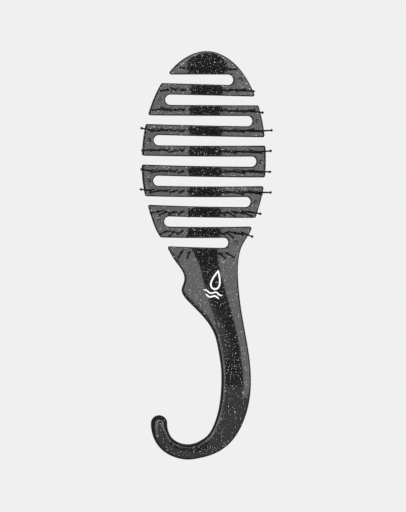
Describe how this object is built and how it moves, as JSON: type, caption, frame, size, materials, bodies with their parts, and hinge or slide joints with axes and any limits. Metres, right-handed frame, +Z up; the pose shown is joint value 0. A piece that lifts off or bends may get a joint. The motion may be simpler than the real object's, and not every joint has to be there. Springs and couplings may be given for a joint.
{
  "type": "vented detangling hairbrush",
  "caption": "Flexible detangling shower brush: a serpentine vented head with ball-tipped pins, a slim handle and a J-shaped hanging hook.",
  "frame": {"origin": "centre of the footprint on the floor, with the brush lying on its back, pins up", "axes": "+Y along the brush from the hanging hook to the tip of the head, +Z up along the pins, +X to the right seen from the pin side with the head up"},
  "size_m": [0.0784, 0.2448, 0.0299],
  "materials": {
    "glitter_plastic": "glossy black with silver glitter flecks",
    "pin_nylon": "satin black nylon pins with ball tips"
  },
  "bodies": {
    "handle": {"handle": "glitter_plastic", "pin_row_10": "pin_nylon"},
    "bar_9": {"head_bar_9": "glitter_plastic", "pin_row_9": "pin_nylon", "flex_turn_9": "glitter_plastic"},
    "bar_8": {"head_bar_8": "glitter_plastic", "pin_row_8": "pin_nylon", "flex_turn_8": "glitter_plastic"},
    "bar_7": {"head_bar_7": "glitter_plastic", "pin_row_7": "pin_nylon", "flex_turn_7": "glitter_plastic"},
    "bar_6": {"head_bar_6": "glitter_plastic", "pin_row_6": "pin_nylon", "flex_turn_6": "glitter_plastic"},
    "bar_5": {"head_bar_5": "glitter_plastic", "pin_row_5": "pin_nylon", "flex_turn_5": "glitter_plastic"},
    "bar_4": {"head_bar_4": "glitter_plastic", "pin_row_4": "pin_nylon", "flex_turn_4": "glitter_plastic"},
    "bar_3": {"head_bar_3": "glitter_plastic", "pin_row_3": "pin_nylon", "flex_turn_3": "glitter_plastic"},
    "bar_2": {"head_bar_2": "glitter_plastic", "pin_row_2": "pin_nylon", "flex_turn_2": "glitter_plastic"},
    "cap": {"head_cap": "glitter_plastic", "pin_row_1": "pin_nylon", "flex_turn_1": "glitter_plastic"}
  },
  "joints": [
    {"name": "turn_9_bend", "type": "hinge", "parent": "handle", "child": "bar_9", "pos_m": [0.01939, 0.00895, 0.01011], "axis": [1, 0, 0], "range_deg": [-7, 4], "stiffness_Nm_per_rad": 1, "deforming": ["flex_turn_9"]},
    {"name": "turn_8_bend", "type": "hinge", "parent": "bar_9", "child": "bar_8", "pos_m": [-0.02688, 0.02121, 0.00756], "axis": [1, 0, 0], "range_deg": [-7, 4], "stiffness_Nm_per_rad": 1, "deforming": ["flex_turn_8"]},
    {"name": "turn_7_bend", "type": "hinge", "parent": "bar_8", "child": "bar_7", "pos_m": [0.03095, 0.03325, 0.00576], "axis": [1, 0, 0], "range_deg": [-7, 4], "stiffness_Nm_per_rad": 1, "deforming": ["flex_turn_7"]},
    {"name": "turn_6_bend", "type": "hinge", "parent": "bar_7", "child": "bar_6", "pos_m": [-0.03322, 0.04529, 0.00463], "axis": [1, 0, 0], "range_deg": [-7, 4], "stiffness_Nm_per_rad": 1, "deforming": ["flex_turn_6"]},
    {"name": "turn_5_bend", "type": "hinge", "parent": "bar_6", "child": "bar_5", "pos_m": [0.03419, 0.05733, 0.00412], "axis": [1, 0, 0], "range_deg": [-7, 4], "stiffness_Nm_per_rad": 1, "deforming": ["flex_turn_5"]},
    {"name": "turn_4_bend", "type": "hinge", "parent": "bar_5", "child": "bar_4", "pos_m": [-0.03329, 0.06937, 0.00459], "axis": [1, 0, 0], "range_deg": [-7, 4], "stiffness_Nm_per_rad": 1, "deforming": ["flex_turn_4"]},
    {"name": "turn_3_bend", "type": "hinge", "parent": "bar_4", "child": "bar_3", "pos_m": [0.03127, 0.08141, 0.00561], "axis": [1, 0, 0], "range_deg": [-7, 4], "stiffness_Nm_per_rad": 1, "deforming": ["flex_turn_3"]},
    {"name": "turn_2_bend", "type": "hinge", "parent": "bar_3", "child": "bar_2", "pos_m": [-0.02729, 0.09345, 0.00739], "axis": [1, 0, 0], "range_deg": [-7, 4], "stiffness_Nm_per_rad": 1, "deforming": ["flex_turn_2"]},
    {"name": "turn_1_bend", "type": "hinge", "parent": "bar_2", "child": "cap", "pos_m": [0.02022, 0.10575, 0.00987], "axis": [1, 0, 0], "range_deg": [-7, 4], "stiffness_Nm_per_rad": 1, "deforming": ["flex_turn_1"]}
  ]
}
